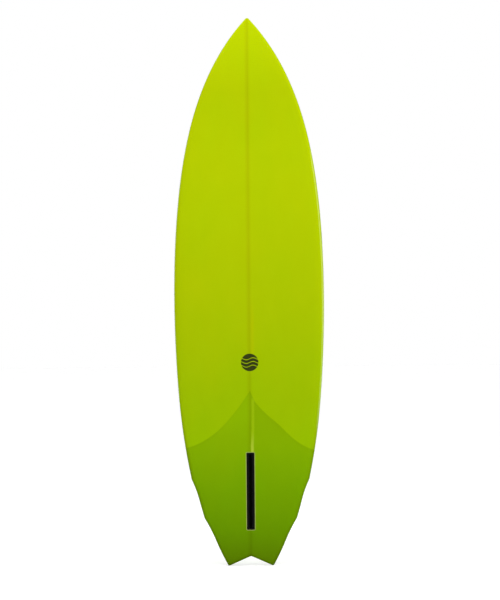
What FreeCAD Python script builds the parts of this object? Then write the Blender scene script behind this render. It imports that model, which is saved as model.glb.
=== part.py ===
import FreeCAD, Part
import math
import os

import Sketcher
from FreeCAD import Placement, Rotation, Vector

# A hand-shaped surfboard: winged swallow tail, single fin box, polyester and glass over foam.
# Frame: the board stands on its tail. +Z runs from the tail tips to the nose, +X is across the
# board, the bottom faces -Y and the deck faces +Y. The origin is midway between the two tail
# tips, level with their ends and at the middle of their thickness.

doc = FreeCAD.newDocument("surfboard")

# ---------------------------------------------------------------------------------------------
# Driving dimensions, all in millimetres
# ---------------------------------------------------------------------------------------------
DIMENSIONS = [
    ("BoardLength", 1960.0, "tail tips to nose tip"),
    ("NoseTipRadius", 8.0, "rounding of the nose tip"),
    ("SwallowDepth", 34.0, "depth of the notch between the tail tips"),
    ("SwallowHalfWidth", 76.0, "half width of the notch at the tips"),
    ("RearWing", 170.0, "height of the rear wing above the tips"),
    ("FrontWing", 308.0, "height of the front wing above the tips"),
    ("SeamRise", 0.08, "seam between the two sides above the rail's widest point, of thickness"),
    ("GlossThickness", 0.5, "resin coat over the cloth"),
    ("ClothThickness", 0.6, "one layer of laminated glass cloth"),
    ("PatchThickness", 0.3, "tail patch and decal, pressed into the cloth"),
    ("DeckLap", 45.0, "how far the bottom cloth wraps on to the deck"),
    ("BottomLap", 32.0, "how far the deck cloth wraps on to the bottom"),
    ("StringerWidth", 5.0, "thickness of the wood stringer"),
    ("GlueWidth", 0.4, "thickness of one glue line"),
    ("PatchApex", 624.0, "height of the point of the tail patch"),
    ("DecalHeight", 728.0, "height of the centre of the decal"),
    ("DecalRadius", 34.0, "radius of the decal tissue"),
    ("BoxHeight", 266.0, "height of the middle of the fin box"),
    ("BoxLength", 277.0, "length of the fin box flange"),
    ("BoxWidth", 28.4, "width of the fin box flange"),
    ("BoxFlange", 3.5, "depth of the fin box flange"),
    ("BoxDepth", 25.4, "depth of the fin box below the skin"),
    ("BoxProud", 2.0, "how far the box stands out before it is sanded flush"),
    ("BoxBodyLength", 271.0, "length of the box below its flange"),
    ("BoxBodyWidth", 20.4, "width of the box below its flange"),
    ("BoxCorner", 3.2, "corner radius of the flange and body"),
    ("BoxResin", 2.4, "resin gap round the box"),
    ("SlotLength", 263.0, "length of the fin slot"),
    ("SlotWidth", 9.6, "width of the fin slot"),
    ("SlotDepth", 22.5, "depth of the fin slot below the skin"),
    ("TrackWidth", 13.6, "width of the undercut track for the pin and the screw plate"),
    ("TrackTop", 6.0, "depth of the track roof below the skin"),
    ("TrackFloor", 9.8, "depth of the track floor below the skin"),
    ("NotchLength", 9.5, "length of the cross notch where the pin and plate drop in"),
    ("PlugHeight", 96.0, "height of the leash plug above the tail tips"),
    ("PlugRadius", 13.0, "outer radius of the leash plug cup"),
    ("PlugDepth", 16.5, "depth of the cup below the deck"),
    ("PlugProud", 1.5, "how far the cup stands out before it is sanded flush"),
    ("PlugBoreRadius", 9.5, "radius of the hollow in the cup"),
    ("PlugBoreDepth", 12.5, "depth of the hollow in the cup"),
    ("PlugResin", 2.0, "resin gap round the cup"),
    ("BarRadius", 1.5, "radius of the leash bar"),
    ("BarLength", 23.0, "length of the leash bar"),
    ("BarDepth", 3.6, "depth of the bar's axis below the deck"),
]

sheet = doc.addObject("Spreadsheet::Sheet", "Dimensions")
for row, (alias, value, note) in enumerate(DIMENSIONS, start=1):
    sheet.set(f"A{row}", note)
    sheet.set(f"B{row}", str(value))
    sheet.setAlias(f"B{row}", alias)
doc.recompute()


def dim(alias):
    """A driving dimension, read from the sheet."""
    return float(sheet.get(alias))


LENGTH = dim("BoardLength")
NOSE_FAIRING = math.radians(42)  # where the rounding of the tip takes over from the outline
REACH = 300.0  # slabs and cutting prisms run this far across and through the board
MARGIN = 20.0  # and this far past its two ends

# Shaper's stations: (height above the tail tips, value at that height)
TAIL_TIP_OUTLINE = [(0, 81.0), (60, 111.5), (120, 138.0), (dim("RearWing"), 165.0)]
WING_OUTLINE = [(dim("RearWing"), 165.0), (215, 177.8), (260, 190.3), (dim("FrontWing"), 209.5)]
MAIN_OUTLINE = [
    (dim("FrontWing"), 209.5),
    (480, 239.2),
    (700, 259.0),
    (950, 266.4),
    (1250, 255.0),
    (1500, 220.5),
    (1700, 162.3),
    (1860, 80.8),
    (1912, 44.0),
    (LENGTH, 3.6),
]
ROCKER = [(0, 48), (200, 31.5), (400, 15), (650, 3), (900, 0), (1250, 10), (1600, 48), (LENGTH, 121)]
THICKNESS = [(0, 18), (130, 35), (305, 48), (600, 60), (950, 67), (1300, 63), (1655, 45), (LENGTH, 12)]
RAIL_APEX = [(0, 0.30), (400, 0.32), (950, 0.38), (1500, 0.42), (LENGTH, 0.50)]
PATCH_EDGE = [(0, dim("PatchApex")), (45, 560), (110, 487), (165, 447), (240, 420)]


def smooth(stations):
    """A cubic curve through (height, value) stations, as a function of height."""
    curve = Part.BSplineCurve()
    heights = [float(height) for height, value in stations]
    points = [Vector(height, value, 0) for height, value in stations]
    curve.interpolate(Points=points, Parameters=heights)
    return lambda height: curve.value(height).y


tail_outline = smooth(TAIL_TIP_OUTLINE)
wing_outline = smooth(WING_OUTLINE)
main_outline = smooth(MAIN_OUTLINE)
rocker = smooth(ROCKER)
thickness = smooth(THICKNESS)
apex_fraction = smooth(RAIL_APEX)


def half_width(height):
    """Half width of the outline; it steps in slope, not in place, at each wing."""
    if height <= dim("RearWing"):
        return tail_outline(height)
    if height <= dim("FrontWing"):
        return wing_outline(height)
    return main_outline(height)


def bottom_line(height):
    """Bottom skin on the centre line; the tail tips are centred front to back on the origin."""
    return rocker(height) - rocker(0) - thickness(0) / 2


def apex_line(height):
    """Front-to-back place of the widest point of the rail."""
    return bottom_line(height) + apex_fraction(height) * thickness(height)


def seam_line(height):
    """Where the bottom's coat meets the deck's, just on the deck's side of the widest point."""
    return apex_line(height) + dim("SeamRise") * thickness(height)


# ---------------------------------------------------------------------------------------------
# The hull: one closed body for any inset below the finished skin
# ---------------------------------------------------------------------------------------------
def clamped_cubic(points):
    """A clamped cubic curve with the given poles."""
    spans = len(points) - 3
    knots = [float(step) for step in range(spans + 1)]
    multiplicities = [4] + [1] * (spans - 1) + [4]
    curve = Part.BSplineCurve()
    curve.buildFromPolesMultsKnots(points, multiplicities, knots, False, 3)
    return curve.toShape()


def section(height, inset, half, shrink=1.0):
    """Closed cross-section at a height: domed deck, flat bottom with a tucked-under rail."""
    apex = apex_line(height)
    bottom = apex + (bottom_line(height) + inset - apex) * shrink
    deck = apex + (bottom_line(height) + thickness(height) - inset - apex) * shrink
    deck_side = [
        (1.00, apex),
        (1.00, apex + 0.46 * (deck - apex)),
        (0.84, apex + 0.88 * (deck - apex)),
        (0.40, deck),
    ]
    bottom_side = [
        (1.00, apex),
        (1.00, apex + 0.62 * (bottom - apex)),
        (0.93, bottom),
        (0.45, bottom),
    ]
    edges = []
    for side in (deck_side, bottom_side):
        right = [Vector(part * half, front, height) for part, front in side]
        left = [Vector(-part * half, front, height) for part, front in reversed(side)]
        edges.append(clamped_cubic(right + left))
    return Part.Wire(edges)


def span_heights(low, high, steps):
    return [low + (high - low) * step / steps for step in range(steps + 1)]


def nose_section(angle, inset):
    """Section of the rounded tip, at an angle up from the rounding's centre."""
    radius = dim("NoseTipRadius") - inset
    centre = LENGTH - dim("NoseTipRadius")
    fair = min(angle, NOSE_FAIRING)
    outline_half = main_outline(centre + radius * math.sin(fair)) - inset
    half = outline_half * math.cos(angle) / math.cos(fair)
    return section(centre + radius * math.sin(angle), inset, half, math.cos(angle))


def hull(inset):
    """The whole board, drawn in by an inset: three lofts that meet at the wings, and a nose tip."""
    nose_base = LENGTH - dim("NoseTipRadius")
    spans = []
    for low, high, steps, outline in (
        (inset, dim("RearWing"), 5, tail_outline),
        (dim("RearWing"), dim("FrontWing"), 4, wing_outline),
        (dim("FrontWing"), nose_base, 16, main_outline),
    ):
        spans.append([section(z, inset, outline(z) - inset) for z in span_heights(low, high, steps)])

    nose = [spans[-1][-1]]
    for degrees in (21, 42, 54, 64, 73):
        nose.append(nose_section(math.radians(degrees), inset))
    spans.append(nose)

    faces = [Part.Face(spans[0][0]), Part.Face(nose[-1])]
    for wires in spans:
        faces += Part.makeLoft(wires, False, False).Faces
    shell = Part.Shell(faces)
    shell.sewShape()
    body = Part.Solid(shell)
    if body.Volume < 0:
        body.reverse()
    return body.cut(notch(inset))


def notch(inset):
    """Wedge between the swallow tips, its walls moved out by the inset."""
    slope = dim("SwallowDepth") / dim("SwallowHalfWidth")
    peak = dim("SwallowDepth") + inset * math.hypot(1, slope)
    foot = -peak
    half = (peak - foot) / slope
    corners = [Vector(0, -REACH, peak), Vector(half, -REACH, foot), Vector(-half, -REACH, foot)]
    wedge = Part.Face(Part.makePolygon(corners + corners[:1]))
    return wedge.extrude(Vector(0, 2 * REACH, 0))


# ---------------------------------------------------------------------------------------------
# Regions of the skin
# ---------------------------------------------------------------------------------------------
def bottom_side():
    """Everything on the bottom's side of the seam along the rail."""
    heights = span_heights(-MARGIN, LENGTH + MARGIN, 24)
    curve = Part.BSplineCurve()
    curve.interpolate([Vector(-REACH, seam_line(min(max(z, 0.0), LENGTH)), z) for z in heights])
    first, last = curve.StartPoint, curve.EndPoint
    outer = [Vector(-REACH, -REACH, last.z), Vector(-REACH, -REACH, first.z)]
    edges = [
        curve.toShape(),
        Part.makeLine(last, outer[0]),
        Part.makeLine(outer[0], outer[1]),
        Part.makeLine(outer[1], first),
    ]
    return Part.Face(Part.Wire(edges)).extrude(Vector(2 * REACH, 0, 0))


def inner_region(lap):
    """Prism inside the outline, a lap's width in from the rail and from the notch."""
    top = LENGTH
    while half_width(top) < lap:
        top -= 1.0
    limits = [0.0, dim("RearWing"), dim("FrontWing"), top]
    right = []
    for outline, low, high in zip((tail_outline, wing_outline, main_outline), limits, limits[1:]):
        points = [Vector(outline(z) - lap, -REACH, z) for z in span_heights(low, high, 8)]
        if high == top:
            points[-1] = Vector(0, -REACH, top)
        curve = Part.BSplineCurve()
        curve.interpolate(points)
        right.append(curve.toShape())
    left = [edge.mirror(Vector(0, 0, 0), Vector(1, 0, 0)) for edge in right]
    tail_half = tail_outline(0) - lap
    tail_end = Part.makeLine(Vector(-tail_half, -REACH, 0), Vector(tail_half, -REACH, 0))
    rim = Part.Wire(Part.__sortEdges__(right + left + [tail_end]))
    return Part.Face(rim).extrude(Vector(0, 2 * REACH, 0)).cut(notch(lap))


def patch_region():
    """Prism over the tail patch, below its pointed front edge."""
    halves = []
    for side in (1, -1):
        curve = Part.BSplineCurve()
        curve.interpolate([Vector(side * across, -REACH, height) for across, height in PATCH_EDGE])
        halves.append(curve)
    right_end, left_end = halves[0].EndPoint, halves[1].EndPoint
    right_foot = Vector(right_end.x, -REACH, -MARGIN)
    left_foot = Vector(left_end.x, -REACH, -MARGIN)
    edges = [
        halves[0].toShape(),
        Part.makeLine(right_end, right_foot),
        Part.makeLine(right_foot, left_foot),
        Part.makeLine(left_foot, left_end),
        halves[1].toShape(),
    ]
    return Part.Face(Part.Wire(Part.__sortEdges__(edges))).extrude(Vector(0, 2 * REACH, 0))


# ---------------------------------------------------------------------------------------------
# Small helpers for document objects
# ---------------------------------------------------------------------------------------------
def feature(name, shape):
    """A shape with no simpler parametric form, as an object of the document."""
    item = doc.addObject("Part::Feature", name)
    item.Shape = shape
    item.Placement = Placement()
    return item


def cut(name, base, tool):
    item = doc.addObject("Part::Cut", name)
    item.Base = base
    item.Tool = tool
    doc.recompute()
    return item


def common(name, base, tool):
    item = doc.addObject("Part::Common", name)
    item.Base = base
    item.Tool = tool
    doc.recompute()
    return item


def fuse(name, base, tool):
    item = doc.addObject("Part::Fuse", name)
    item.Base = base
    item.Tool = tool
    doc.recompute()
    return item


def slab(name, width, start):
    """A tall board-wide sheet across X, its width and start given as expressions."""
    item = doc.addObject("Part::Box", name)
    item.Width = 2 * REACH
    item.setExpression("Length", width)
    item.setExpression("Height", f"Dimensions.BoardLength + {2 * MARGIN}")
    item.setExpression("Placement.Base.x", start)
    item.Placement.Base.y = -REACH
    item.Placement.Base.z = -MARGIN
    doc.recompute()
    return item


def origin_plane(body, role):
    return next(item for item in body.Origin.OriginFeatures if item.Role == role)


def sketch_on(body, name, role="XY_Plane"):
    sketch = body.newObject("Sketcher::SketchObject", name)
    sketch.AttachmentSupport = [(origin_plane(body, role), "")]
    sketch.MapMode = "FlatFace"
    return sketch


def centred_rectangle(sketch, length, width):
    """A rectangle about the sketch's origin, its two sizes bound to the sheet."""
    corners = [Vector(-10, -5, 0), Vector(10, -5, 0), Vector(10, 5, 0), Vector(-10, 5, 0)]
    for start, end in zip(corners, corners[1:] + corners[:1]):
        sketch.addGeometry(Part.LineSegment(start, end))
    for line in range(4):
        sketch.addConstraint(Sketcher.Constraint("Coincident", line, 2, (line + 1) % 4, 1))
    for line in (0, 2):
        sketch.addConstraint(Sketcher.Constraint("Horizontal", line))
    for line in (1, 3):
        sketch.addConstraint(Sketcher.Constraint("Vertical", line))
    sketch.addConstraint(Sketcher.Constraint("Symmetric", 0, 1, 2, 1, -1, 1))
    along = sketch.addConstraint(Sketcher.Constraint("DistanceX", 0, 1, 0, 2, 20))
    across = sketch.addConstraint(Sketcher.Constraint("DistanceY", 1, 1, 1, 2, 10))
    sketch.setExpression(f"Constraints[{along}]", length)
    sketch.setExpression(f"Constraints[{across}]", width)


def centred_circle(sketch, radius):
    sketch.addGeometry(Part.Circle(Vector(0, 0, 0), Vector(0, 0, 1), 5))
    sketch.addConstraint(Sketcher.Constraint("Coincident", 0, 3, -1, 1))
    size = sketch.addConstraint(Sketcher.Constraint("Radius", 0, 5))
    sketch.setExpression(f"Constraints[{size}]", radius)


def pad(body, sketch, name, depth):
    item = body.newObject("PartDesign::Pad", name)
    item.Profile = sketch
    item.setExpression("Length", depth)
    doc.recompute()
    return item


def pocket(body, sketch, name, depth):
    """A pocket that runs the way a pad does, into the depth of the piece."""
    before = body.Shape.Volume
    item = body.newObject("PartDesign::Pocket", name)
    item.Profile = sketch
    item.setExpression("Length", depth)
    item.Reversed = True
    doc.recompute()
    if not body.Shape.Volume < before:
        raise RuntimeError(f"{name} removed nothing")
    return item


def round_upright_edges(body, base, name, radius):
    """Fillet the edges that run along the piece's own depth."""
    uprights = []
    for number, edge in enumerate(base.Shape.Edges, start=1):
        ends = [vertex.Point for vertex in edge.Vertexes]
        if len(ends) == 2 and abs(ends[0].x - ends[1].x) + abs(ends[0].y - ends[1].y) < 1e-6:
            uprights.append(f"Edge{number}")
    item = body.newObject("PartDesign::Fillet", name)
    item.Base = (base, uprights)
    item.setExpression("Radius", radius)
    doc.recompute()
    return item


def seat(height, surface, side, foot):
    """Placement of a fitting: its origin on the skin, its depth square to the skin and inward.

    The side is 1 for the bottom and -1 for the deck; the foot is the half length that it lies on."""
    rise = surface(height + foot) - surface(height - foot)
    along = Vector(0, rise, 2 * foot).normalize()
    across = Vector(side, 0, 0)
    depth = along.cross(across)
    turn = Rotation(along, across, depth, "XYZ")
    return Placement(Vector(0, surface(height), height), turn)


# ---------------------------------------------------------------------------------------------
# Fin box: a long open slot with an undercut track, set in resin and sanded flush
# ---------------------------------------------------------------------------------------------
box_seat = seat(dim("BoxHeight"), bottom_line, 1, 120.0)


def box_shape(name, grow, flange_depth, body_depth):
    """The box's outside: a wide flange and a narrower body, grown by the resin gap or not."""
    body = doc.addObject("PartDesign::Body", name)
    rim = sketch_on(body, f"{name}_rim")
    centred_rectangle(rim, f"Dimensions.BoxLength + 2 * {grow}", f"Dimensions.BoxWidth + 2 * {grow}")
    rim.AttachmentOffset = Placement(Vector(0, 0, -dim("BoxProud")), Rotation())
    flange = pad(body, rim, f"{name}_flange", f"{flange_depth} + Dimensions.BoxProud")
    round_upright_edges(body, flange, f"{name}_flange_corners", f"Dimensions.BoxCorner + {grow}")
    well = sketch_on(body, f"{name}_well")
    centred_rectangle(
        well, f"Dimensions.BoxBodyLength + 2 * {grow}", f"Dimensions.BoxBodyWidth + 2 * {grow}"
    )
    pad(body, well, f"{name}_body", body_depth)
    return body


def make_fin_box():
    body = box_shape("fin_box_blank", "0", "Dimensions.BoxFlange", "Dimensions.BoxDepth")
    below = Placement(Vector(0, 0, -dim("BoxProud")), Rotation())

    slot = sketch_on(body, "fin_slot_outline")
    centred_rectangle(slot, "Dimensions.SlotLength", "Dimensions.SlotWidth")
    slot.AttachmentOffset = below
    pocket(body, slot, "fin_slot", "Dimensions.SlotDepth + Dimensions.BoxProud")

    track = sketch_on(body, "fin_track_outline")
    centred_rectangle(track, "Dimensions.SlotLength", "Dimensions.TrackWidth")
    track.AttachmentOffset = Placement(Vector(0, 0, dim("TrackTop")), Rotation())
    pocket(body, track, "fin_track", "Dimensions.TrackFloor - Dimensions.TrackTop")

    drop_in = sketch_on(body, "pin_notch_outline")
    centred_rectangle(drop_in, "Dimensions.NotchLength", "Dimensions.TrackWidth")
    drop_in.AttachmentOffset = below
    pocket(body, drop_in, "pin_notch", "Dimensions.TrackFloor + Dimensions.BoxProud")
    body.Placement = box_seat
    return body


def make_box_pocket():
    gap = "Dimensions.BoxResin"
    body = box_shape(
        "fin_box_pocket", gap, f"Dimensions.BoxFlange + {gap} / 2", f"Dimensions.BoxDepth + {gap}"
    )
    body.Placement = box_seat
    return body


# ---------------------------------------------------------------------------------------------
# Leash plug: a round cup in the deck with a steel bar across its mouth
# ---------------------------------------------------------------------------------------------
def deck_line(height):
    return bottom_line(height) + thickness(height)


plug_seat = seat(dim("PlugHeight"), deck_line, -1, 12.0)


def round_blank(name, radius, depth):
    """A plain cylinder that starts a little above the deck."""
    body = doc.addObject("PartDesign::Body", name)
    ring = sketch_on(body, f"{name}_ring")
    centred_circle(ring, radius)
    ring.AttachmentOffset = Placement(Vector(0, 0, -dim("PlugProud")), Rotation())
    pad(body, ring, f"{name}_wall", f"{depth} + Dimensions.PlugProud")
    body.Placement = plug_seat
    return body


def make_plug_cup():
    body = round_blank("leash_cup_blank", "Dimensions.PlugRadius", "Dimensions.PlugDepth")
    bore = sketch_on(body, "leash_cup_bore_outline")
    centred_circle(bore, "Dimensions.PlugBoreRadius")
    bore.AttachmentOffset = Placement(Vector(0, 0, -dim("PlugProud")), Rotation())
    pocket(body, bore, "leash_cup_bore", "Dimensions.PlugBoreDepth + Dimensions.PlugProud")
    return body


def make_plug_bar():
    bar = doc.addObject("Part::Cylinder", "leash_plug_bar")
    bar.setExpression("Radius", "Dimensions.BarRadius")
    bar.setExpression("Height", "Dimensions.BarLength")
    centre = plug_seat.multVec(Vector(0, -dim("BarLength") / 2, dim("BarDepth")))
    across = plug_seat.Rotation.multVec(Vector(0, 1, 0))
    bar.Placement = Placement(centre, Rotation(Vector(0, 0, 1), across))
    doc.recompute()
    return bar


# ---------------------------------------------------------------------------------------------
# Build
# ---------------------------------------------------------------------------------------------
gloss = dim("GlossThickness")
cloth = dim("ClothThickness")
skin_hull = feature("hull_skin", hull(0.0))
outer_cloth_hull = feature("hull_outer_cloth", hull(gloss))
inner_cloth_hull = feature("hull_inner_cloth", hull(gloss + cloth))
patch_hull = feature("hull_patch", hull(gloss + 2 * cloth - dim("PatchThickness")))
foam_hull = feature("hull_foam", hull(gloss + 2 * cloth))

bottom_region = feature("region_bottom", bottom_side())
deck_inner_region = feature("region_deck_inner", inner_region(dim("DeckLap")))
bottom_inner_region = feature("region_bottom_inner", inner_region(dim("BottomLap")))
tail_region = feature("region_tail_patch", patch_region())

box_blank = make_fin_box()
box_pocket = make_box_pocket()
cup_blank = make_plug_cup()
cup_outside = round_blank("leash_cup_outside", "Dimensions.PlugRadius", "Dimensions.PlugDepth")
cup_pocket = round_blank(
    "leash_cup_pocket",
    "Dimensions.PlugRadius + Dimensions.PlugResin",
    "Dimensions.PlugDepth + Dimensions.PlugResin",
)
fittings = fuse("fitting_pockets", box_pocket, cup_pocket)


def drilled(name, base):
    """A layer with the pockets of the fin box and the leash plug cut out of it."""
    item = cut(name, base, fittings)
    item.Label = name
    return item


# Foam blank, stringer and glue lines
stringer_slab = slab("slab_stringer", "Dimensions.StringerWidth", "-Dimensions.StringerWidth / 2")
glue_start = "Dimensions.StringerWidth / 2"
glue_right_slab = slab("slab_glue_right", "Dimensions.GlueWidth", glue_start)
glue_left_slab = slab("slab_glue_left", "Dimensions.GlueWidth", f"-{glue_start} - Dimensions.GlueWidth")
half_start = f"{glue_start} + Dimensions.GlueWidth"
foam_right_slab = slab("slab_foam_right", f"{REACH}", half_start)
foam_left_slab = slab("slab_foam_left", f"{REACH}", f"-({half_start}) - {REACH}")

# The slabs, less the parts of the foam hull outside them, make the five pieces of the blank
core_slabs = [
    ("stringer", stringer_slab),
    ("glue_line_right", glue_right_slab),
    ("glue_line_left", glue_left_slab),
    ("foam_right", foam_right_slab),
    ("foam_left", foam_left_slab),
]
nodes = []
for name, part_slab in core_slabs:
    nodes.append(drilled(name, common(f"{name}_whole", foam_hull, part_slab)))

# Inner cloth: tail patch and decal against the foam, bottom cloth with its lap, deck patch
decal_disc = doc.addObject("Part::Cylinder", "decal_disc")
decal_disc.setExpression("Radius", "Dimensions.DecalRadius")
decal_disc.Height = 2 * REACH
decal_disc.Placement = Placement(Vector(0, -REACH, dim("DecalHeight")), Rotation(Vector(1, 0, 0), -90))
doc.recompute()
under_cloth = common("under_bottom_cloth", patch_hull, bottom_region)
patch_block = common("tail_patch_block", under_cloth, tail_region)
decal_block = common("decal_block", under_cloth, decal_disc)
nodes.append(drilled("tail_patch", cut("tail_patch_whole", patch_block, foam_hull)))
nodes.append(cut("decal", decal_block, foam_hull))

inner_layer = cut("layer_inner_cloth", inner_cloth_hull, foam_hull)
deck_column = cut("column_deck_inner", deck_inner_region, bottom_region)
nodes.append(drilled("deck_patch", common("deck_patch_whole", inner_layer, deck_column)))
cloth_over_patch = cut("cloth_over_patch", inner_layer, patch_block)
cloth_over_decal = cut("cloth_over_decal", cloth_over_patch, decal_block)
nodes.append(drilled("bottom_cloth", cut("bottom_cloth_whole", cloth_over_decal, deck_column)))

# Outer cloth: the deck's second layer, lapped on to the bottom
outer_layer = cut("layer_outer_cloth", outer_cloth_hull, inner_cloth_hull)
bottom_column = common("column_bottom_inner", bottom_inner_region, bottom_region)
nodes.append(drilled("deck_cloth", cut("deck_cloth_whole", outer_layer, bottom_column)))

# Gloss coats: the bottom coat also fills level with the edge of the deck cloth's lap
glassed_board = cut("glassed_board", outer_cloth_hull, cut("lap_hollow", bottom_column, inner_cloth_hull))
bottom_half = common("bottom_half", skin_hull, bottom_region)
nodes.append(drilled("bottom_gloss_coat", cut("bottom_coat_whole", bottom_half, glassed_board)))
gloss_layer = cut("layer_gloss", skin_hull, outer_cloth_hull)
nodes.append(drilled("deck_gloss_coat", cut("deck_coat_whole", gloss_layer, bottom_region)))

# Fittings, sanded flush with the skin
nodes.append(common("fin_box", box_blank, skin_hull))
box_outside = box_shape("fin_box_outside", "0", "Dimensions.BoxFlange", "Dimensions.BoxDepth")
box_outside.Placement = box_seat
doc.recompute()
box_bed = common("fin_box_bed", box_pocket, skin_hull)
nodes.append(cut("fin_box_resin", box_bed, box_outside))

bar = make_plug_bar()
cup_flush = common("leash_cup_flush", cup_blank, skin_hull)
nodes.append(cut("leash_plug_cup", cup_flush, bar))
nodes.append(bar)
cup_bed = common("leash_cup_bed", cup_pocket, skin_hull)
nodes.append(cut("leash_plug_resin", cup_bed, cup_outside))

doc.recompute()

# ---------------------------------------------------------------------------------------------
# Check and write
# ---------------------------------------------------------------------------------------------
for item in doc.Objects:
    if "Invalid" in item.State or "Error" in item.State:
        raise RuntimeError(f"{item.Name} did not build: {item.State}")
for node in nodes:
    if node.Shape.isNull() or not node.Shape.isValid():
        raise RuntimeError(f"{node.Label} has no valid shape")

os.makedirs("parts", exist_ok=True)
for node in nodes:
    node.Shape.exportStep(f"parts/{node.Label}.step")
    solids = node.Shape.Solids
    box = node.Shape.BoundBox
    print(f"{node.Label:20s} solids {len(solids)} volume {node.Shape.Volume / 1000:10.2f} cm3 "
          f"z {box.ZMin:7.1f} to {box.ZMax:7.1f}")
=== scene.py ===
"""Studio scene of a surfboard: a winged swallow tail in green tinted glass, seen from its bottom.

The board stands on its tail: +Z is the nose, -Y is the way the bottom faces. The scene is in metres,
and the board's own dimensions are in millimetres, as in its design.
"""
import math

import bmesh
import bpy
import numpy as np
from mathutils import Matrix, Vector
from mathutils.bvhtree import BVHTree


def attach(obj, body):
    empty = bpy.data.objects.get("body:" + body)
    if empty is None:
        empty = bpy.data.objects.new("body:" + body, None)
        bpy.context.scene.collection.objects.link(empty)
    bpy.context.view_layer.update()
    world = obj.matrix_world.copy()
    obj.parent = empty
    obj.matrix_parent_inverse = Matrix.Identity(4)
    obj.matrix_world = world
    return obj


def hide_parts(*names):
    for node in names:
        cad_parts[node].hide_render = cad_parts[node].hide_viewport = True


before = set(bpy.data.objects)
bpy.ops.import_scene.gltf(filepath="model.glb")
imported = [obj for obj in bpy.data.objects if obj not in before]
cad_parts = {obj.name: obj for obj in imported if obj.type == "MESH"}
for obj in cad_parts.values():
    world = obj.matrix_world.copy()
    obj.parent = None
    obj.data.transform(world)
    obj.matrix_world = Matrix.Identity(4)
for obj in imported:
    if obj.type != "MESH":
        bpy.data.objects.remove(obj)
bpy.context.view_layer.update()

MM = 0.001
BODY = "root"

# ---------------------------------------------------------------------------------------------
# The board's lines: the design's driving dimensions, in millimetres.
# A list of stations holds (height above the tail tips, value at that height).
# ---------------------------------------------------------------------------------------------
LENGTH = 1960.0
NOSE_RADIUS = 8.0
NOSE_FAIRING = math.radians(42)
REAR_WING = 170.0
FRONT_WING = 308.0
NOTCH_DEPTH = 34.0
NOTCH_HALF_WIDTH = 76.0
SKIN = 1.6
TAIL_OUTLINE = [(0, 81.0), (60, 111.5), (120, 138.0), (REAR_WING, 165.0)]
WING_OUTLINE = [(REAR_WING, 165.0), (215, 177.8), (260, 190.3), (FRONT_WING, 209.5)]
MAIN_OUTLINE = [
    (FRONT_WING, 209.5),
    (480, 239.2),
    (700, 259.0),
    (950, 266.4),
    (1250, 255.0),
    (1500, 220.5),
    (1700, 162.3),
    (1860, 80.8),
    (1912, 44.0),
    (LENGTH, 3.6),
]
ROCKER = [(0, 48), (200, 31.5), (400, 15), (650, 3), (900, 0), (1250, 10), (1600, 48), (LENGTH, 121)]
THICKNESS = [(0, 18), (130, 35), (305, 48), (600, 60), (950, 67), (1300, 63), (1655, 45), (LENGTH, 12)]
RAIL_APEX = [(0, 0.30), (400, 0.32), (950, 0.38), (1500, 0.42), (LENGTH, 0.50)]
# Edge of the tail patch: (distance from the middle, height), its right half cut a little lower
PATCH_EDGE = [(0, 624), (45, 560), (110, 487), (165, 447), (240, 420)]
RIGHT_PATCH_EDGE = [(0, 608), (45, 553), (100, 504), (146, 459), (203, 421), (240, 410)]
DECK_LAP = 45.0

# Cross-section poles, as shares of half width and of the height from the rail's widest point
DECK_POLES = [(1.00, 0.00), (1.00, 0.46), (0.84, 0.88), (0.40, 1.00)]
BOTTOM_POLES = [(1.00, 0.00), (1.00, 0.62), (0.93, 1.00), (0.45, 1.00)]
SEAM_SHARE = 0.12

# The rounding of the tail's end and of the notch's crotch, and how far the rows follow the notch
TAIL_ROUND = 2.6
TAIL_ROUND_POWER = 2.4
TAIL_ROUND_STEPS = [0.0, 0.12, 0.3, 0.55, 0.85, 1.25]
CROTCH_ROUND = 1.5
TAIL_ZONE = 120.0
TAIL_ROWS = 14
NOTCH_PASSES = 12

# The mesh: columns on each face, gaps between rows on the hull and within the zone of a wing, and the
# degrees between rows round the nose
COLUMNS = 64
ROW_STEP = 9.0
WING_ROW_STEP = 2.0
WING_ZONE = 8.0
NOSE_STEP = 7


def smooth(stations):
    """Cubic curve through (height, value) stations, its end slopes those of a parabola."""
    at = np.array([height for height, value in stations], float)
    value = np.array([value for height, value in stations], float)
    gap = np.diff(at)
    slope = np.diff(value) / gap
    count = len(at)
    system = np.zeros((count, count))
    right = np.zeros(count)
    system[0, 0] = system[-1, -1] = 1.0
    right[0] = slope[0] - gap[0] * (slope[1] - slope[0]) / (gap[0] + gap[1])
    right[-1] = slope[-1] + gap[-1] * (slope[-1] - slope[-2]) / (gap[-1] + gap[-2])
    for row in range(1, count - 1):
        system[row, row - 1] = gap[row]
        system[row, row] = 2 * (gap[row - 1] + gap[row])
        system[row, row + 1] = gap[row - 1]
        right[row] = 3 * (gap[row] * slope[row - 1] + gap[row - 1] * slope[row])
    tangent = np.linalg.solve(system, right)

    def curve(height):
        height = np.asarray(height, float)
        span = np.clip(np.searchsorted(at, height) - 1, 0, count - 2)
        width = gap[span]
        u = (height - at[span]) / width
        return (
            value[span] * (1 + 2 * u) * (1 - u) ** 2
            + value[span + 1] * u * u * (3 - 2 * u)
            + width * tangent[span] * u * (1 - u) ** 2
            - width * tangent[span + 1] * u * u * (1 - u)
        )

    return curve


tail_outline = smooth(TAIL_OUTLINE)
wing_outline = smooth(WING_OUTLINE)
main_outline = smooth(MAIN_OUTLINE)
rocker = smooth(ROCKER)
thickness = smooth(THICKNESS)
apex_share = smooth(RAIL_APEX)
patch_edge = smooth(PATCH_EDGE)
right_patch_edge = smooth(RIGHT_PATCH_EDGE)


def half_width(height):
    """Half width of the outline, with a step in slope at each wing."""
    height = np.asarray(height, float)
    return np.where(
        height <= REAR_WING,
        tail_outline(height),
        np.where(height <= FRONT_WING, wing_outline(height), main_outline(height)),
    )


def bottom_line(height):
    return rocker(height) - rocker(0.0) - thickness(0.0) / 2


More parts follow.
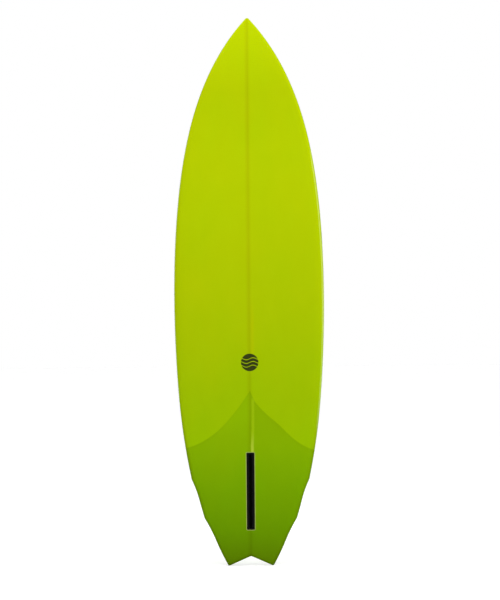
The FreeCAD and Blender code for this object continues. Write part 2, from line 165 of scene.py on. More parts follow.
def deck_line(height):
    return bottom_line(height) + thickness(height)


def notch_line(across, inset):
    """Height of the swallow tail's end at a place across the board; flat at the two tips."""
    slope = NOTCH_DEPTH / NOTCH_HALF_WIDTH
    rounded = np.sqrt(across**2 + CROTCH_ROUND**2)
    wall = NOTCH_DEPTH + inset * math.hypot(1, slope) - slope * rounded
    return np.maximum(wall, inset)


def clamped_cubic(poles, count):
    """A clamped cubic curve with these poles, at even steps of its own parameter."""
    poles = np.array(poles, float)
    spans = len(poles) - 3
    knots = np.concatenate([[0] * 3, np.arange(spans + 1), [spans] * 3]).astype(float)
    points = []
    for u in np.linspace(0, spans, count + 1):
        span = min(int(u), spans - 1) + 3
        work = [poles[span - 3 + index].copy() for index in range(4)]
        for level in range(1, 4):
            for index in range(3, level - 1, -1):
                left = knots[span - 3 + index]
                share = (u - left) / (knots[span + 1 + index - level] - left)
                work[index] = (1 - share) * work[index - 1] + share * work[index]
        points.append(work[3])
    return np.array(points)


def mirrored(half_poles):
    return half_poles + [(-across, up) for across, up in reversed(half_poles)]


deck_shape = clamped_cubic(mirrored(DECK_POLES), COLUMNS)
bottom_shape = clamped_cubic(mirrored(BOTTOM_POLES), COLUMNS)
SEAM_COLUMN = int(np.argmax(deck_shape[:, 1] > SEAM_SHARE))

# One ring round the board: the deck from the right rail to the left, then the bottom back
ring_across = np.concatenate([deck_shape[:, 0], bottom_shape[-2:0:-1, 0]])
ring_up = np.concatenate([deck_shape[:, 1], bottom_shape[-2:0:-1, 1]])
ring_is_deck = np.concatenate([np.ones(COLUMNS + 1, bool), np.zeros(COLUMNS - 1, bool)])
RING = len(ring_across)


def place(across, up, is_deck, height, inset, squeeze=1.0, half=None, trim=0.0):
    """Points of the board's surface, in metres.

    squeeze thins the section towards its rail line by a share, and trim takes millimetres off both faces.
    """
    apex = bottom_line(height) + apex_share(height) * thickness(height)
    deck = deck_line(height) - inset - trim
    bottom = bottom_line(height) + inset + trim
    front = np.where(is_deck, apex + (deck - apex) * up * squeeze, apex + (bottom - apex) * up * squeeze)
    side = (half_width(height) - inset if half is None else half) * across
    return np.stack([side, front, height + np.zeros_like(side)], axis=-1) * MM


def main_rows():
    """Heights of the level rows, closer together beside each wing."""
    stops = [TAIL_ZONE]
    for wing in (REAR_WING, FRONT_WING):
        stops += [wing - WING_ZONE, wing + WING_ZONE]
    stops.append(LENGTH - NOSE_RADIUS)
    steps = [ROW_STEP, WING_ROW_STEP, ROW_STEP, WING_ROW_STEP, ROW_STEP]
    rows = []
    for low, high, step in zip(stops, stops[1:], steps):
        count = max(1, round((high - low) / step))
        rows += list(low + (high - low) * np.arange(count) / count)
    return rows + [stops[-1]]


def hull_rows(inset):
    """All rows of the hull from the tail's end to the nose, as points in metres."""
    end = np.full(RING, float(inset))
    for _ in range(NOTCH_PASSES):
        end = notch_line((half_width(end) - inset) * ring_across, inset)
    rows = []
    radius = TAIL_ROUND - inset
    reach = TAIL_ZONE - end
    shares = [step * TAIL_ROUND / reach for step in TAIL_ROUND_STEPS]
    last = shares[-1]
    for step in range(1, TAIL_ROWS):
        shares.append(last + (1 - last) * step / TAIL_ROWS)
    for share in shares:
        height = end + reach * share
        depth = np.clip((height - end) / radius, 0, 1)
        swell = (1 - (1 - depth) ** TAIL_ROUND_POWER) ** (1 / TAIL_ROUND_POWER)
        rows.append(place(ring_across, ring_up, ring_is_deck, height, inset, trim=radius * (1 - swell)))
    for height in main_rows():
        rows.append(place(ring_across, ring_up, ring_is_deck, np.full(RING, height), inset))
    centre = LENGTH - NOSE_RADIUS
    for degrees in range(NOSE_STEP, 90, NOSE_STEP):
        angle = math.radians(degrees)
        fair = min(angle, NOSE_FAIRING)
        half = main_outline(centre + (NOSE_RADIUS - inset) * math.sin(fair)) - inset
        half *= math.cos(angle) / math.cos(fair)
        height = np.full(RING, centre + (NOSE_RADIUS - inset) * math.sin(angle))
        rows.append(place(ring_across, ring_up, ring_is_deck, height, inset, math.cos(angle), half))
    tip_height = LENGTH - inset
    tip_front = bottom_line(tip_height) + apex_share(tip_height) * thickness(tip_height)
    return rows, np.array([0.0, tip_front, tip_height]) * MM


def seam_row(rows):
    """Points between the deck's and the bottom's last rows, along the middle of the tail's end."""
    deck_end = rows[0][: COLUMNS + 1]
    bottom_end = np.concatenate([rows[0][:1], rows[0][: COLUMNS - 1 : -1]])
    return (deck_end + bottom_end) / 2


def skin_patch(inset, deck_side):
    """Vertices and faces of one side of the skin: deck or bottom, to the seam just past the rail."""
    rows, tip = hull_rows(inset)
    seam_left = COLUMNS - SEAM_COLUMN
    if deck_side:
        columns = list(range(SEAM_COLUMN, seam_left + 1))
    else:
        columns = list(range(seam_left, RING)) + list(range(0, SEAM_COLUMN + 1))
    points = [row[column] for row in rows for column in columns]
    wide = len(columns)
    faces = []
    for row in range(len(rows) - 1):
        for column in range(wide - 1):
            corner = row * wide + column
            faces.append((corner, corner + 1, corner + wide + 1, corner + wide))
    points.append(tip)
    top = (len(rows) - 1) * wide
    for column in range(wide - 1):
        faces.append((top + column, top + column + 1, len(points) - 1))
    middle = seam_row(rows)
    if deck_side:
        ends = [(column, middle[column]) for column in columns]
    else:
        ends = [(column, middle[RING - column]) for column in range(COLUMNS, RING)]
    first = len(points)
    points += [point for column, point in ends]
    for index in range(len(ends) - 1):
        low = columns.index(ends[index][0])
        faces.append((low + 1, low, first + index, first + index + 1))
    return points, faces


def new_object(name, vertices, faces, smooth_faces=True):
    mesh = bpy.data.meshes.new(name)
    mesh.from_pydata([tuple(v) for v in vertices], [], faces)
    mesh.validate()
    if smooth_faces:
        mesh.shade_smooth()
    item = bpy.data.objects.new(name, mesh)
    bpy.context.scene.collection.objects.link(item)
    return item


def circle(radius, count):
    turns = [math.tau * step / count for step in range(count)]
    return [(radius * math.cos(turn), radius * math.sin(turn)) for turn in turns]


# ---------------------------------------------------------------------------------------------
# Camera, lights and stage
# ---------------------------------------------------------------------------------------------
CAMERA_DISTANCE = 10.0
CAMERA_LENS = 168.1
CAMERA_AIM = (0.0030, 0.9466)
CAMERA_ROLL = 0.00807
FLOOR_RADIUS = 30.0
FLOOR_SIDES = 96

# Name, origin, height it aims at on the board's axis, size, radiance, and whether the gloss shows it
LIGHTS = [
    ("key", (0.0, -1.15, 3.35), 1.75, (1.4, 1.0), 9.0, False),
    ("right_strip", (3.0, -0.3, 1.15), 1.0, (1.5, 2.6), 2.2, True),
    ("right_fill", (3.0, 0.6, 1.3), 1.2, (1.0, 2.2), 3.0, False),
    ("back_strip", (2.7, 2.7, 0.75), 0.9, (0.7, 1.3), 3.0, True),
    ("left_strip", (-3.0, 2.6, 1.4), 1.0, (0.8, 2.4), 2.0, True),
]


def make_camera():
    data = bpy.data.cameras.new("camera")
    data.lens = CAMERA_LENS
    data.sensor_width = 36.0
    data.clip_end = 100.0
    camera = bpy.data.objects.new("camera", data)
    bpy.context.scene.collection.objects.link(camera)
    turn = Matrix.Rotation(CAMERA_ROLL, 4, "Y") @ Matrix.Rotation(math.pi / 2, 4, "X")
    across, up = CAMERA_AIM
    camera.matrix_world = Matrix.Translation((across, -CAMERA_DISTANCE, up)) @ turn
    bpy.context.scene.camera = camera


def area_light(name, origin, target, size, radiance, reflected):
    """A soft box that shines from origin at target, as bright as radiance says, whatever its size."""
    data = bpy.data.lights.new(name, "AREA")
    data.shape = "RECTANGLE"
    data.size, data.size_y = size
    data.energy = radiance * math.pi * size[0] * size[1]
    light = bpy.data.objects.new(name, data)
    bpy.context.scene.collection.objects.link(light)
    light.location = origin
    light.rotation_mode = "QUATERNION"
    light.rotation_quaternion = (Vector(target) - Vector(origin)).to_track_quat("-Z", "Y")
    light.visible_camera = False
    light.visible_glossy = reflected


def make_studio():
    scene = bpy.context.scene
    scene.view_settings.view_transform = "Standard"
    world = bpy.data.worlds.new("studio")
    scene.world = world
    world.use_nodes = True
    world.node_tree.nodes["Background"].inputs["Color"].default_value = (1.0, 1.0, 1.0, 1.0)
    world.cycles_visibility.glossy = False
    for name, origin, target_height, size, radiance, reflected in LIGHTS:
        area_light(name, origin, (0.0, 0.0, target_height), size, radiance, reflected)
    ring = [(x, y, 0.0) for x, y in circle(FLOOR_RADIUS, FLOOR_SIDES)]
    floor = new_object("floor", ring, [tuple(range(FLOOR_SIDES))], smooth_faces=False)
    floor.data.materials.append(floor_material())
    floor.visible_glossy = False


# ---------------------------------------------------------------------------------------------
# Materials
# ---------------------------------------------------------------------------------------------
class Shader:
    """A material under construction: short calls that add and link nodes."""

    def __init__(self, name):
        self.material = bpy.data.materials.new(name)
        self.material.use_nodes = True
        self.tree = self.material.node_tree
        self.surface = self.tree.nodes["Principled BSDF"]

    def feed(self, socket, value):
        if isinstance(value, bpy.types.NodeSocket):
            self.tree.links.new(value, socket)
        elif value is not None:
            socket.default_value = value

    def node(self, kind, inputs=None, **settings):
        made = self.tree.nodes.new(kind)
        for key, value in settings.items():
            setattr(made, key, value)
        for key, value in (inputs or {}).items():
            self.feed(made.inputs[key], value)
        return made

    def math(self, operation, first, second=None, third=None):
        return self.node("ShaderNodeMath", {0: first, 1: second, 2: third}, operation=operation).outputs[0]

    def band(self, value, low, high):
        """0 below low, 1 above high, with a smooth rise between; low may be the larger."""
        made = self.node(
            "ShaderNodeMapRange",
            {"Value": value, "From Min": low, "From Max": high},
            interpolation_type="SMOOTHSTEP",
        )
        return made.outputs["Result"]

    def position(self):
        if not hasattr(self, "axes"):
            place = self.node("ShaderNodeTexCoord").outputs["Object"]
            split = self.node("ShaderNodeSeparateXYZ", {0: place})
            self.place = place
            self.axes = split.outputs
        return self.axes

    def stretched(self, across, front, up):
        self.position()
        scale = (across, front, up)
        return self.node("ShaderNodeMapping", {"Vector": self.place, "Scale": scale}).outputs[0]

    def noise(self, vector, scale, detail=2.0, roughness=0.5):
        made = self.node(
            "ShaderNodeTexNoise",
            {"Vector": vector, "Scale": scale, "Detail": detail, "Roughness": roughness},
        )
        return made.outputs["Fac"]

    def attribute(self, name):
        return self.node("ShaderNodeAttribute", attribute_name=name).outputs["Fac"]

    def ramp(self, value, stops):
        made = self.node("ShaderNodeValToRGB", {"Fac": value})
        elements = made.color_ramp.elements
        while len(elements) < len(stops):
            elements.new(0.5)
        for element, (at, colour) in zip(elements, stops):
            element.position = at
            element.color = (*colour, 1.0)
        return made.outputs["Color"]

    def mix(self, share, first, second, blend="MIX"):
        made = self.node("ShaderNodeMix", data_type="RGBA", blend_type=blend)
        self.feed(made.inputs[0], share)
        self.feed(made.inputs[6], first if isinstance(first, bpy.types.NodeSocket) else (*first, 1.0))
        self.feed(made.inputs[7], second if isinstance(second, bpy.types.NodeSocket) else (*second, 1.0))
        return made.outputs[2]

    def tinted(self, share, colour, factor):
        """Colour where share is 0, and colour times factor where share is 1."""
        return self.mix(share, colour, self.mix(1.0, colour, factor, "MULTIPLY"))

    def scaled(self, colour, amount):
        """Colour times a value that varies over the surface."""
        grey = self.node("ShaderNodeCombineColor", {0: amount, 1: amount, 2: amount}).outputs[0]
        return self.mix(1.0, colour, grey, "MULTIPLY")

    def bump(self, height, distance, strength=1.0):
        made = self.node("ShaderNodeBump", {"Height": height, "Distance": distance, "Strength": strength})
        return made.outputs["Normal"]

    def finish(self, **sockets):
        for name, value in sockets.items():
            self.feed(self.surface.inputs[name.replace("_", " ")], value)
        return self.material


def floor_material():
    shader = Shader("floor_paper")
    speckle = shader.noise(shader.stretched(1, 1, 1), 40.0)
    tone = shader.math("MULTIPLY_ADD", speckle, 0.02, 0.93)
    colour = shader.node("ShaderNodeCombineColor", {0: tone, 1: tone, 2: tone}).outputs[0]
    return shader.finish(
        Base_Color=colour, Roughness=0.9, Emission_Color=(1.0, 1.0, 1.0, 1.0), Emission_Strength=0.15
    )


# The resin's tint, darker towards the tail: partly the resin's own deeper colour and partly painted shade
# of the light falling off from nose to tail. (share of the board's length above the tail tips, colour)
TINT_AND_SHADE = [
    (0.00, (0.105, 0.190, 0.0004)),
    (0.06, (0.139, 0.275, 0.0004)),
    (0.14, (0.179, 0.336, 0.0004)),
    (0.22, (0.236, 0.389, 0.0004)),
    (0.30, (0.252, 0.388, 0.0004)),
    (0.50, (0.315, 0.415, 0.0004)),
    (0.65, (0.320, 0.422, 0.0004)),
    (0.76, (0.311, 0.407, 0.0004)),
    (0.86, (0.288, 0.371, 0.0004)),
    (1.00, (0.316, 0.406, 0.0004)),
]
# Factors that the tint is multiplied by
PATCH_TINT = (0.76, 0.83, 0.8)
THIN_PATCH_TINT = (1.07, 1.10, 1.0)
PATCH_SELVEDGE_TINT = (0.97, 0.96, 1.0)
LAP_TINT = (0.84, 0.89, 0.85)
STRINGER_TINT = (0.955, 0.955, 0.8)
STRINGER_SHADE = (0.955, 0.905, 0.9)
GLOW_TINT = (1.12, 0.985, 1.0)
# Painted shade along the rail, part doubled cloth, and deeper painted shade round the tail's edges; a
# painted highlight along the rail at the nose
RIM_CLOTH_AND_SHADE = (0.94, 0.93, 1.0)
TAIL_RIM_SHADE = (0.84, 0.76, 1.0)
NOSE_RIM_HIGHLIGHT = (1.10, 1.08, 1.0)
# Colours of the other materials
BARE_STREAK = (0.25, 0.385, 0.003)
FILLER = (0.33, 0.44, 0.030)
FOAM_WHITE = (0.93, 0.93, 0.88)
GLUE_AMBER = (0.75, 0.68, 0.45)
SETTING_RESIN = (0.27, 0.32, 0.08)
BOX_BLACK = (0.0050, 0.0052, 0.0058)
PLUG_BLACK = (0.012, 0.012, 0.013)
INK = (0.027, 0.036, 0.006)
WOOD_DARK = (0.30, 0.17, 0.08)
WOOD_PALE = (0.52, 0.34, 0.18)
STEEL = (0.72, 0.72, 0.73, 1.0)
# Metres of one pair of threads in the cloth, and the scales of the grain in moulded plastic
THREAD_PAIR = 0.0021
PLASTIC_GRAIN = 1500.0
BROAD_GRAIN = PLASTIC_GRAIN / 30

# Where each mark in the tint fades in: (none of it here, all of it here). First, metres from its middle
SHADE_REACH = (0.0125, 0.0020)
CORE_REACH = (0.0033, 0.0025)
GLOW_REACH = (0.010, 0.001)
STREAK_REACH = (0.0072, 0.0020)
# Metres above the tail tips
GLOW_LOW = (0.66, 0.76)
GLOW_HIGH = (0.98, 0.86)
STREAK_LOW = (0.398, 0.404)
STREAK_HIGH = (0.604, 0.588)
FILLER_HIGH = (0.487, 0.405)
LEAN_HIGH = (0.50, 0.43)
THIN_PATCH_LOW = (0.42, 0.56)
RIM_HIGH = (1.40, 1.10)
TAIL_RIM_HIGH = (0.62, 0.44)
NOSE_RIM_LOW = (1.35, 1.60)
# Millimetres above the patch's cut edge for the first two, and inside the outline for the others
PATCH_EDGE_BLUR = (2.0, -2.0)
SELVEDGE_BLUR = (-12.0, -4.0)
RIM_BLUR = (15.0, 0.0)
LAP_BLUR = (DECK_LAP + 0.4, DECK_LAP - 0.4)
# Metres: the shade's offset to the left, the streak's least offset to the right, its wander and its lean
SHADE_OFFSET = 0.0018
STREAK_OFFSET = 0.0080
STREAK_WANDER = 0.004
STREAK_LEAN = 0.0028


def weave(shader):
    """Plain weave of the glass cloth, one thread about a millimetre wide, from 0 to 1."""
    across, _, up = shader.position()
    warp, weft = (
        shader.math("SINE", shader.math("MULTIPLY", axis, math.tau / THREAD_PAIR)) for axis in (across, up)
    )
    return shader.math("MULTIPLY_ADD", shader.math("MULTIPLY", warp, weft), 0.5, 0.5)


def stringer_line(shader, colour):
    """The stringer and its glue lines: a narrow line through the cloth, in a soft shade."""
    across, _, _ = shader.position()
    beside = shader.math("ABSOLUTE", shader.math("ADD", across, SHADE_OFFSET))
    colour = shader.tinted(shader.band(beside, *SHADE_REACH), colour, STRINGER_SHADE)
    core = shader.band(shader.math("ABSOLUTE", across), *CORE_REACH)
    return shader.tinted(core, colour, STRINGER_TINT)


def stringer_streak(shader, colour):
    """Warm glow and pale filler along the stringer's right side, palest where they meet the fin box."""
    across, _, up = shader.position()
    drift = shader.noise(shader.stretched(0, 0, 1), 30.0)
    middle = shader.math("MULTIPLY_ADD", drift, STREAK_WANDER, STREAK_OFFSET)
    beside = shader.math("SUBTRACT", across, middle)
    along = shader.math("MULTIPLY", shader.band(up, *GLOW_LOW), shader.band(up, *GLOW_HIGH))
    glow = shader.math("MULTIPLY", shader.band(shader.math("ABSOLUTE", beside), *GLOW_REACH), along)
    colour = shader.tinted(glow, colour, GLOW_TINT)
    lean = shader.math("MULTIPLY", shader.band(up, *LEAN_HIGH), STREAK_LEAN)
    beside = shader.math("ABSOLUTE", shader.math("ADD", beside, lean))
    strip = shader.math("MULTIPLY", shader.band(beside, *STREAK_REACH), shader.band(up, *STREAK_LOW))
    bare = shader.math("MULTIPLY", strip, shader.band(up, *STREAK_HIGH))
    colour = shader.mix(shader.math("MULTIPLY", bare, 0.80), colour, BARE_STREAK)
    filled = shader.math("MULTIPLY", strip, shader.band(up, *FILLER_HIGH))
    return shader.mix(shader.math("MULTIPLY", filled, 0.85), colour, FILLER)


def patch_layers(shader, colour):
    """The tail patch: a second layer of cloth, lighter in its left half and dark along its cut edge."""
    across, _, up = shader.position()
    edge = shader.attribute("patch")
    layers = shader.band(edge, *PATCH_EDGE_BLUR)
    colour = shader.tinted(layers, colour, PATCH_TINT)
    left_half = shader.band(across, 0.006, -0.006)
    thin = shader.math("MULTIPLY", left_half, shader.band(up, *THIN_PATCH_LOW))
    colour = shader.tinted(shader.math("MULTIPLY", thin, layers), colour, THIN_PATCH_TINT)
    selvedge = shader.math("MULTIPLY", shader.band(edge, *SELVEDGE_BLUR), layers)
    return layers, shader.tinted(selvedge, colour, PATCH_SELVEDGE_TINT)


def rim_shade(shader, colour):
    """Deeper over the rail, most of all round the tail, partly from the doubled cloth there and partly
    painted shade where the rail and the tail's edges turn away from the light; paler over the rail at the
    nose, a painted highlight.
    """
    _, _, up = shader.position()
    rim = shader.band(shader.attribute("rim"), *RIM_BLUR)
    for ends, factor in (
        (RIM_HIGH, RIM_CLOTH_AND_SHADE),
        (TAIL_RIM_HIGH, TAIL_RIM_SHADE),
        (NOSE_RIM_LOW, NOSE_RIM_HIGHLIGHT),
    ):
        zone = shader.math("MULTIPLY", rim, shader.band(up, *ends))
        colour = shader.tinted(zone, colour, factor)
    return colour


def tinted_glass(name, deck_side):
    """Polished resin over tinted cloth, with what shows through it: the stringer, patch and laps; with
    painted shade towards the tail and along the rail, and a painted highlight along the rail at the nose.
    """
    shader = Shader(name)
    _, _, up = shader.position()
    height = shader.math("DIVIDE", up, LENGTH * MM)
    cloud = shader.noise(shader.stretched(1, 1, 0.45), 5.0, 3.0)
    height = shader.math("MULTIPLY_ADD", shader.math("SUBTRACT", cloud, 0.5), 0.05, height)
    # Painted shade in part: the ramp darkens towards the tail for the light falling off, as well as for
    # the resin's tint
    colour = shader.ramp(height, TINT_AND_SHADE)
    warmth = shader.math("MULTIPLY_ADD", shader.noise(shader.stretched(1, 1, 0.6), 7.0, 2.0), 0.16, 0.92)
    warm = shader.node("ShaderNodeCombineColor", {0: warmth, 1: 1.0, 2: 1.0}).outputs[0]
    colour = shader.mix(1.0, colour, warm, "MULTIPLY")
    colour = stringer_line(shader, colour)
    layers, colour = patch_layers(shader, colour)
    height_field = shader.math("MULTIPLY", layers, 0.3)
    if deck_side:
        lap = shader.band(shader.attribute("lap"), *LAP_BLUR)
        colour = shader.tinted(lap, colour, LAP_TINT)
        height_field = shader.math("MULTIPLY_ADD", lap, 0.3, height_field)
    else:
        colour = stringer_streak(shader, colour)
    # Painted shade along the rail and round the tail, and a painted highlight along the nose's rail
    colour = rim_shade(shader, colour)
    fibre = weave(shader)
    colour = shader.scaled(colour, shader.math("MULTIPLY_ADD", fibre, 0.08, 0.96))
    mottle = shader.noise(shader.stretched(1, 1, 0.5), 22.0, 4.0, 0.6)
    colour = shader.scaled(colour, shader.math("MULTIPLY_ADD", mottle, 0.06, 0.97))
    peel = shader.noise(shader.stretched(1, 1, 1), 160.0, 1.0)
    height_field = shader.math("MULTIPLY_ADD", peel, 0.02, height_field)
    normal = shader.bump(height_field, MM, 0.5)
    gloss = shader.math("MULTIPLY_ADD", mottle, 0.05, 0.025)
    return shader.finish(Base_Color=colour, Roughness=gloss, Normal=normal)


def moulded_plastic(name, colour):
    shader = Shader(name)
    place = shader.stretched(1, 1, 1)
    fine = shader.noise(place, PLASTIC_GRAIN, 3.0)
    broad = shader.noise(place, BROAD_GRAIN, 2.0)
    tone = shader.math("MULTIPLY_ADD", broad, 0.35, 0.82)
    return shader.finish(
        Base_Color=shader.scaled(colour, tone),
        Roughness=shader.math("MULTIPLY_ADD", fine, 0.15, 0.30),
        Normal=shader.bump(fine, 0.00004),
    )


def clear_resin(name, colour):
    shader = Shader(name)
    place = shader.stretched(1, 1, 1)
    cloud = shader.noise(place, 60.0, 3.0)
    return shader.finish(
        Base_Color=shader.scaled(colour, shader.math("MULTIPLY_ADD", cloud, 0.4, 0.8)),
        Roughness=shader.math("MULTIPLY_ADD", cloud, 0.10, 0.08),
        Normal=shader.bump(shader.noise(place, 300.0, 1.0), 0.00003),
    )


def blown_foam(name):
    shader = Shader(name)
    cells = shader.node("ShaderNodeTexVoronoi", {"Vector": shader.stretched(1, 1, 1), "Scale": 900.0})
    tone = shader.math("MULTIPLY_ADD", cells.outputs["Distance"], 0.1, 0.88)
    colour = shader.scaled(FOAM_WHITE, tone)
    return shader.finish(
        Base_Color=colour, Roughness=0.8, Normal=shader.bump(cells.outputs["Distance"], 0.0003)
    )


def stringer_wood(name):
    shader = Shader(name)
    grain = shader.noise(shader.stretched(30, 30, 0.6), 9.0, 4.0, 0.6)
    colour = shader.ramp(grain, [(0.3, WOOD_DARK), (0.7, WOOD_PALE)])
    return shader.finish(Base_Color=colour, Roughness=0.6, Normal=shader.bump(grain, 0.0001))


def brushed_steel(name):
    shader = Shader(name)
    lines = shader.noise(shader.stretched(20, 400, 400), 6.0, 2.0)
    return shader.finish(
        Base_Color=STEEL,
        Metallic=0.7,
        Roughness=shader.math("MULTIPLY_ADD", lines, 0.18, 0.12),
        Normal=shader.bump(lines, 0.00002),
    )


def printed_tissue(name):
    shader = Shader(name)
    fibres = shader.noise(shader.stretched(3, 3, 1), 500.0, 4.0, 0.7)
    blot = shader.noise(shader.stretched(1, 1, 1), 90.0, 3.0)
    tone = shader.math("MULTIPLY_ADD", blot, 0.3, 0.75)
    tone = shader.math("MULTIPLY_ADD", fibres, 0.25, tone)
    colour = shader.scaled(INK, tone)
    return shader.finish(Base_Color=colour, Roughness=0.10, Normal=shader.bump(fibres, 0.00003))


# ---------------------------------------------------------------------------------------------
# Skins
# ---------------------------------------------------------------------------------------------
# The fin box and the leash plug: their place, the half length they lie on, and the holes for them, each
# wider than its fitting by the resin's gap and cut between two depths
BOX_HEIGHT, BOX_FOOT = 266.0, 120.0
PLUG_HEIGHT, PLUG_FOOT = 96.0, 12.0
BOX_LENGTH, BOX_WIDTH, BOX_CORNER = 277.0, 28.4, 3.2
BOX_GAP = 2.4
BOX_CUT = (-12.0, 6.0)
PLUG_RADIUS = 13.0
PLUG_GAP = 2.0
PLUG_CUT = (-8.0, 8.0)
ROUND_SIDES = 64
# Points nearer than this are joined, and a face this much in line with the hull's normal is outside
TOUCHING = 0.01 * MM
FACES_OUT = 0.75
NEAR_ZERO = 1e-6
# The mark: its place, size and thickness, the waves across it, and the least height of a strip
DECAL_HEIGHT = 725.0
DECAL_RADIUS = 31.0
DECAL_PROUD = 0.14
DECAL_THICKNESS = 0.12
DECAL_STEPS = 96
WAVE_LEVELS = (-13.0, 0.0, 13.0)
WAVE_HEIGHT = 3.6
WAVE_PACE = 7.5
WAVE_GAP = 2.7
DECAL_LEAST = 0.05


def seat(height, surface, side, foot):
    """Where a fitting is sunk: x up the board, z square to the skin and inward.

    The side is 1 for the bottom and -1 for the deck.
    """
    rise = surface(height + foot) - surface(height - foot)
    along = Vector((0.0, rise, 2 * foot)).normalized()
    across = Vector((side, 0.0, 0.0))
    turn = Matrix((along, across, along.cross(across))).transposed().to_4x4()
    return Matrix.Translation(Vector((0.0, surface(height), height)) * MM) @ turn


def full_hull():
    """The board's whole outside as one closed mesh, for its smooth normals."""
    rows, tip = hull_rows(0.0)
    points = [point for row in rows for point in row]
    faces = []
    for row in range(len(rows) - 1):
        for column in range(RING):
            after = (column + 1) % RING
            low = row * RING
            faces.append((low + column, low + after, low + RING + after, low + RING + column))
    top = (len(rows) - 1) * RING
    points.append(tip)
    for column in range(RING):
        faces.append((top + column, top + (column + 1) % RING, len(points) - 1))
    first = len(points)
    points += list(seam_row(rows))
    for column in range(COLUMNS):
        faces.append((column + 1, column, first + column, first + column + 1))
        below = (RING - column) % RING
        faces.append((below, RING - column - 1, first + column + 1, first + column))
    return new_object("hull", points, faces)


def closed_skin(name, deck_side):
    """One side's skin as a thin closed shell: outside, inside and the rim that joins them."""
    outside, faces = skin_patch(0.0, deck_side)
    inside, _ = skin_patch(SKIN, deck_side)
    count = len(outside)
    edges = {edge: True for face in faces for edge in zip(face, face[1:] + face[:1])}
    rim = [(b, a, a + count, b + count) for a, b in edges if (b, a) not in edges]
    lining = [tuple(corner + count for corner in reversed(face)) for face in faces]
    return new_object(name, outside + inside, faces + lining + rim)


def rounded_rectangle(length, width, corner, steps=8):
    points = []
    for centre_x, centre_y, start in (
        (length / 2 - corner, width / 2 - corner, 0),
        (-length / 2 + corner, width / 2 - corner, 90),
        (-length / 2 + corner, -width / 2 + corner, 180),
        (length / 2 - corner, -width / 2 + corner, 270),
    ):
        for step in range(steps + 1):
            angle = math.radians(start + 90 * step / steps)
            points.append((centre_x + corner * math.cos(angle), centre_y + corner * math.sin(angle)))
    return points


def seal(data):
    """Joins the points of a closed mesh that touch, and turns its faces outwards."""
    mesh = bmesh.new()
    mesh.from_mesh(data)
    bmesh.ops.remove_doubles(mesh, verts=mesh.verts, dist=TOUCHING)
    bmesh.ops.recalc_face_normals(mesh, faces=mesh.faces)
    mesh.to_mesh(data)
    mesh.free()


def cutter(outline, placement, low, high):
    """A prism on a fitting's seat, from low to high along its depth, in millimetres."""
    count = len(outline)
    points = [placement @ (Vector((x, y, depth)) * MM) for depth in (low, high) for x, y in outline]
    faces = [tuple(range(count))[::-1], tuple(range(count, 2 * count))]
    faces += [(i, (i + 1) % count, count + (i + 1) % count, count + i) for i in range(count)]
    item = new_object("cutter", points, faces, smooth_faces=False)
    seal(item.data)
    return item


def drill(item, tool):
    """Cuts tool out of item and removes it."""
    change = item.modifiers.new("hole", "BOOLEAN")
    change.operation = "DIFFERENCE"
    change.solver = "EXACT"
    change.object = tool
    graph = bpy.context.evaluated_depsgraph_get()
    cut = bpy.data.meshes.new_from_object(item.evaluated_get(graph))
    item.modifiers.clear()
    item.data = cut
    seal(cut)
    bpy.data.objects.remove(tool)


def smooth_normals(item, hull):
    """Gives item the hull's own smooth normals, except on faces that turn away from it."""
    source = hull.data
    points = [vertex.co for vertex in source.vertices]
    tree = BVHTree.FromPolygons(points, [tuple(polygon.vertices) for polygon in source.polygons])
    corner = [Vector(vertex.normal) for vertex in source.vertices]
    mesh = item.data
    near = []
    for vertex in mesh.vertices:
        spot, _, index, _ = tree.find_nearest(vertex.co)
        weights = 0.0
        blended = Vector()
        for number in source.polygons[index].vertices:
            weight = 1.0 / ((points[number] - spot).length + NEAR_ZERO) ** 2
            blended += corner[number] * weight
            weights += weight
        near.append((blended / weights).normalized())
    loops = []
    for polygon in mesh.polygons:
        for number in polygon.vertices:
            smooth_one = near[number]
            faces_out = polygon.normal.dot(smooth_one) > FACES_OUT
            loops.append(smooth_one if faces_out else polygon.normal)
    mesh.normals_split_custom_set([tuple(n) for n in loops])


def add_marks(item):
    """Distances, in millimetres, from which the material draws the cloth's edges, and the doubled cloth,
    painted shade and painted highlight along the rim.
    """
    mesh = item.data
    points = np.array([v.co for v in mesh.vertices]) / MM
    height = np.clip(points[:, 2], 0, LENGTH)
    across = np.abs(points[:, 0])
    reach = np.minimum(across, PATCH_EDGE[-1][0])
    edge = np.where(points[:, 0] > 0, right_patch_edge(reach), patch_edge(reach))
    patch = mesh.attributes.new("patch", "FLOAT", "POINT")
    patch.data.foreach_set("value", (height - edge).astype(np.float32))
    inwards = half_width(height) - across
    lap = mesh.attributes.new("lap", "FLOAT", "POINT")
    lap.data.foreach_set("value", inwards.astype(np.float32))
    from_end = height - notch_line(across, 0.0)
    rim = mesh.attributes.new("rim", "FLOAT", "POINT")
    rim.data.foreach_set("value", np.minimum(inwards, from_end).astype(np.float32))


def make_skins():
    hull = full_hull()
    bottom = closed_skin("bottom_skin", False)
    deck = closed_skin("deck_skin", True)
    outline = rounded_rectangle(BOX_LENGTH + 2 * BOX_GAP, BOX_WIDTH + 2 * BOX_GAP, BOX_CORNER + BOX_GAP)
    drill(bottom, cutter(outline, seat(BOX_HEIGHT, bottom_line, 1, BOX_FOOT), *BOX_CUT))
    outline = circle(PLUG_RADIUS + PLUG_GAP, ROUND_SIDES)
    drill(deck, cutter(outline, seat(PLUG_HEIGHT, deck_line, -1, PLUG_FOOT), *PLUG_CUT))
    for item, slot, nodes in (
        (bottom, "bottom_cloth", ["bottom_gloss_coat", "bottom_cloth", "tail_patch"]),
        (deck, "deck_cloth", ["deck_gloss_coat", "deck_cloth", "deck_patch"]),
    ):
        smooth_normals(item, hull)
        add_marks(item)
        item.data.materials.clear()
        item.data.materials.append(tinted_glass(f"{slot}_glass", item is deck))
        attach(item, BODY)
        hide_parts(*nodes)
    bpy.data.objects.remove(hull)


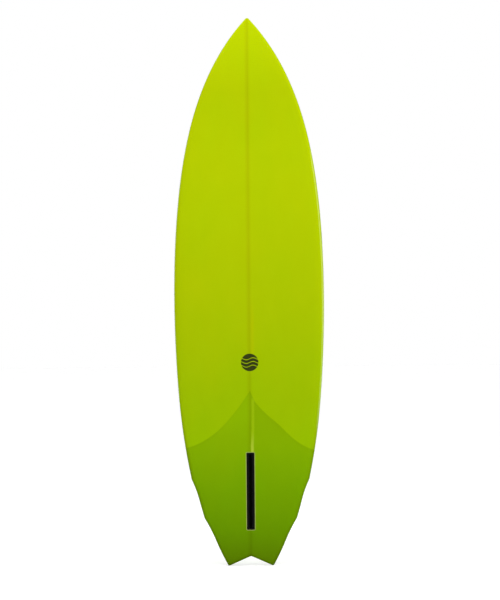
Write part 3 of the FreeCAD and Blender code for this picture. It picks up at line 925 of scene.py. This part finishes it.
def dress_nodes():
    finishes = {
        "foam_right": blown_foam("foam"),
        "stringer": stringer_wood("stringer_wood"),
        "glue_line_right": clear_resin("glue", GLUE_AMBER),
        "fin_box": moulded_plastic("fin_box_plastic", BOX_BLACK),
        "fin_box_resin": clear_resin("setting_resin", SETTING_RESIN),
        "leash_plug_cup": moulded_plastic("plug_plastic", PLUG_BLACK),
        "leash_plug_bar": brushed_steel("bar_steel"),
    }
    finishes["foam_left"] = finishes["foam_right"]
    finishes["glue_line_left"] = finishes["glue_line_right"]
    finishes["leash_plug_resin"] = finishes["fin_box_resin"]
    for name, material in finishes.items():
        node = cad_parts[name]
        for slot in node.material_slots:
            slot.material = material
        if not node.material_slots:
            node.data.materials.append(material)


def make_decal():
    """A plain round mark, a hair proud of the bottom: a disc crossed by three waves."""
    points, faces = [], []

    def surface(x, z, lift):
        outline = place(bottom_shape[:, 0], bottom_shape[:, 1], False, np.full(COLUMNS + 1, z), 0.0) / MM
        front = np.interp(-x, -outline[:, 0], outline[:, 1])
        return Vector((x, front - lift, z)) * MM

    def strip(lower, upper):
        """A closed solid between two lines with the same number of points."""
        first = len(points)
        count = len(lower)
        for lift in (DECAL_PROUD, DECAL_PROUD - DECAL_THICKNESS):
            points.extend(surface(x, DECAL_HEIGHT + z, lift) for x, z in lower + upper)
        layer = 2 * count
        for index in range(count - 1):
            a, b = first + index, first + index + 1
            d, c = a + count, b + count
            faces.append((a, b, c, d))
            faces.append((d + layer, c + layer, b + layer, a + layer))
            faces.append((b, a, a + layer, b + layer))
            faces.append((d, c, c + layer, d + layer))
        for index in (0, count - 1):
            a, d = first + index, first + count + index
            faces.append((a, d, d + layer, a + layer))

    def wave(level, x):
        return level + WAVE_HEIGHT * math.sin(x / WAVE_PACE)

    edges = [-2 * DECAL_RADIUS, *WAVE_LEVELS, 2 * DECAL_RADIUS]
    for low, high in zip(edges, edges[1:]):
        lower, upper = [], []
        for step in range(1, DECAL_STEPS):
            x = DECAL_RADIUS * math.cos(math.pi * step / DECAL_STEPS)
            reach = math.sqrt(DECAL_RADIUS**2 - x * x)
            bottom = max(-reach, wave(low, x) + WAVE_GAP / 2)
            top = min(reach, wave(high, x) - WAVE_GAP / 2)
            if top - bottom > DECAL_LEAST:
                lower.append((x, bottom))
                upper.append((x, top))
        strip(lower, upper)
    item = new_object("decal_mark", points, faces, smooth_faces=False)
    seal(item.data)
    item.data.materials.append(printed_tissue("decal_tissue"))
    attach(item, BODY)
    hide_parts("decal")


make_camera()
make_studio()
make_skins()
make_decal()
dress_nodes()
